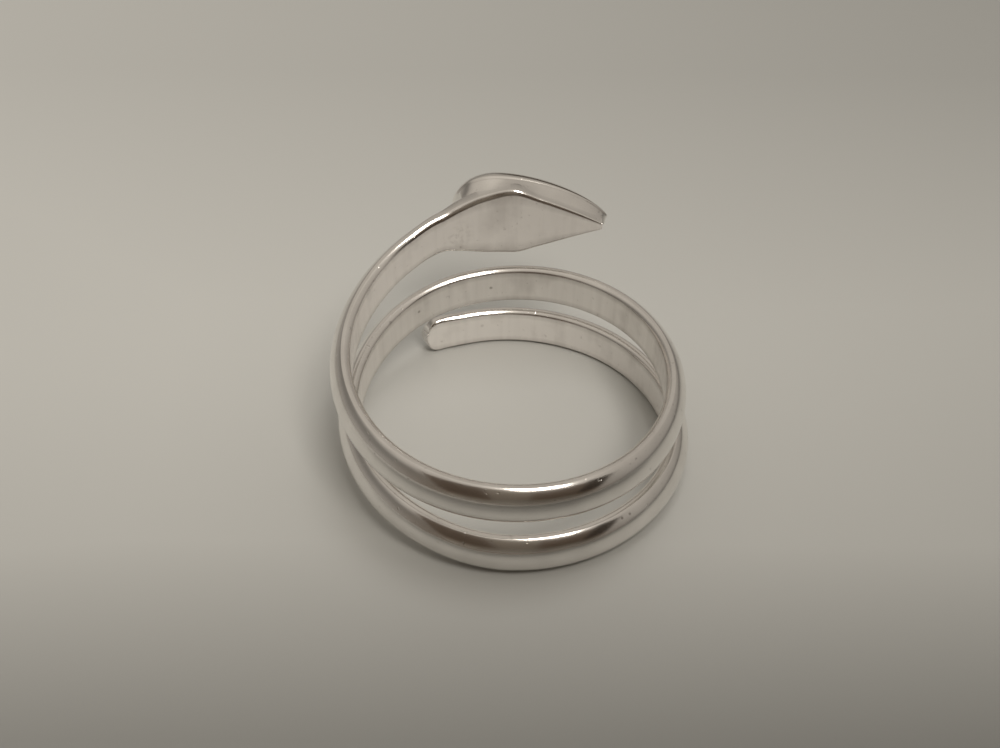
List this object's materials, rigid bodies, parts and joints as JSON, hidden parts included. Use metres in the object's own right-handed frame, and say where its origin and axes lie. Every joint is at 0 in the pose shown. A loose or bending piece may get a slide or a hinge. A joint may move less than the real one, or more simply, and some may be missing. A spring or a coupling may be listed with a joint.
{
  "type": "snake ring",
  "caption": "Silver finger ring coiled as a snake: a half-round strip in open turns with a rounded tail, and a flat kite-shaped head under a domed teardrop.",
  "frame": {"origin": "middle of the ring's box as seen from above, on the surface that the lowest turn lies on", "axes": "+Z along the finger, from the tail's turn up to the head's; +Y from the middle of the ring towards the head"},
  "size_m": [0.0202, 0.0208, 0.0117],
  "materials": {
    "silver": "polished silver, satin on the inner face"
  },
  "bodies": {
    "root": {"snake_ring": "silver"}
  },
  "joints": []
}
